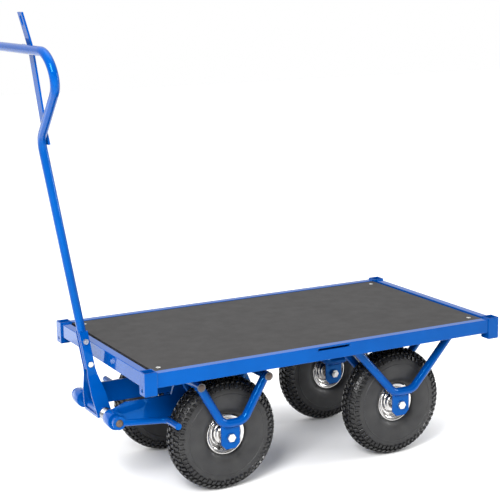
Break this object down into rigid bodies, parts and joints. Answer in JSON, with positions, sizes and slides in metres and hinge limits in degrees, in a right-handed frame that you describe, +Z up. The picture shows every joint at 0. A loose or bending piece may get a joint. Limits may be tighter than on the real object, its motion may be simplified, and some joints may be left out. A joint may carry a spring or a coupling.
{
  "type": "platform trolley",
  "caption": "Four-wheel platform trolley: flat deck in a tube frame, pneumatic tyres in V forks, a turntable bogie and a tipping drawbar with brake bars.",
  "frame": {"origin": "on the floor, below the middle of the deck and midway between the wheels of each axle", "axes": "+X towards the drawbar, +Y towards the near side, +Z up out of the deck"},
  "size_m": [1.4708, 0.707, 1.4514],
  "materials": {
    "blue_paint": "glossy powder coat",
    "deck_board": "matt phenolic film with a fine grip pattern",
    "tyre_rubber": "matt rubber",
    "rim_steel": "bright zinc plate",
    "zinc_steel": "zinc plated",
    "black_plastic": "moulded",
    "brown_plastic": "moulded",
    "spring_steel": "bright drawn wire"
  },
  "bodies": {
    "chassis": {"corner_socket_front_far": "blue_paint", "corner_socket_front_near": "blue_paint", "corner_socket_rear_far": "blue_paint", "corner_socket_rear_near": "blue_paint", "cross_member_1": "blue_paint", "cross_member_2": "blue_paint", "cross_member_3": "blue_paint", "cross_member_4": "blue_paint", "deck_panel": "deck_board", "deck_screws": "zinc_steel", "end_rail_front": "blue_paint", "end_rail_rear": "blue_paint", "rear_axle_fasteners": "zinc_steel", "rear_fork_inner_far": "blue_paint", "rear_fork_inner_near": "blue_paint", "rear_fork_outer_far": "blue_paint", "rear_fork_outer_near": "blue_paint", "side_pocket_far": "blue_paint", "side_pocket_near": "blue_paint", "side_rail_far": "blue_paint", "side_rail_near": "blue_paint", "turntable_top_plate": "blue_paint"},
    "bogie": {"turntable_base_plate": "blue_paint", "kingpin": "zinc_steel", "bogie_tube_front": "blue_paint", "bogie_tube_rear": "blue_paint", "bogie_tube_caps": "black_plastic", "front_fork_outer_near": "blue_paint", "front_fork_inner_near": "blue_paint", "front_fork_outer_far": "blue_paint", "front_fork_inner_far": "blue_paint", "front_axle_fasteners": "zinc_steel", "steering_arm_near": "blue_paint", "steering_arm_far": "blue_paint", "return_spring": "spring_steel"},
    "drawbar": {"drawbar_tube": "blue_paint", "tow_bar": "blue_paint", "drawbar_foot": "blue_paint", "foot_fasteners": "zinc_steel", "pivot_shaft": "blue_paint", "pivot_caps": "brown_plastic", "brake_bar_near": "blue_paint", "brake_bar_far": "blue_paint"},
    "wheel_front_near": {"tyre_front_near": "tyre_rubber", "rim_front_near": "rim_steel", "bearings_front_near": "zinc_steel", "valve_front_near": "black_plastic"},
    "wheel_front_far": {"tyre_front_far": "tyre_rubber", "rim_front_far": "rim_steel", "bearings_front_far": "zinc_steel", "valve_front_far": "black_plastic"},
    "wheel_rear_near": {"tyre_rear_near": "tyre_rubber", "rim_rear_near": "rim_steel", "bearings_rear_near": "zinc_steel", "valve_rear_near": "black_plastic"},
    "wheel_rear_far": {"tyre_rear_far": "tyre_rubber", "rim_rear_far": "rim_steel", "bearings_rear_far": "zinc_steel", "valve_rear_far": "black_plastic"}
  },
  "joints": [
    {"name": "steering", "type": "hinge", "parent": "chassis", "child": "bogie", "pos_m": [0.305, 0, 0.38], "axis": [0, 0, 1], "range_deg": [-14, 14]},
    {"name": "drawbar_tilt", "type": "hinge", "parent": "bogie", "child": "drawbar", "pos_m": [0.635, 0, 0.248], "axis": [0, 1, 0], "range_deg": [0, 78], "stiffness_Nm_per_rad": 24, "springref_deg": -28.65},
    {"name": "wheel_spin_front_near", "type": "hinge", "parent": "bogie", "child": "wheel_front_near", "pos_m": [0.315, 0.2045, 0.178], "axis": [0, 1, 0], "continuous": true},
    {"name": "wheel_spin_front_far", "type": "hinge", "parent": "bogie", "child": "wheel_front_far", "pos_m": [0.315, -0.2045, 0.178], "axis": [0, 1, 0], "continuous": true},
    {"name": "wheel_spin_rear_near", "type": "hinge", "parent": "chassis", "child": "wheel_rear_near", "pos_m": [-0.307, 0.2045, 0.178], "axis": [0, 1, 0], "continuous": true},
    {"name": "wheel_spin_rear_far", "type": "hinge", "parent": "chassis", "child": "wheel_rear_far", "pos_m": [-0.307, -0.2045, 0.178], "axis": [0, 1, 0], "continuous": true}
  ]
}
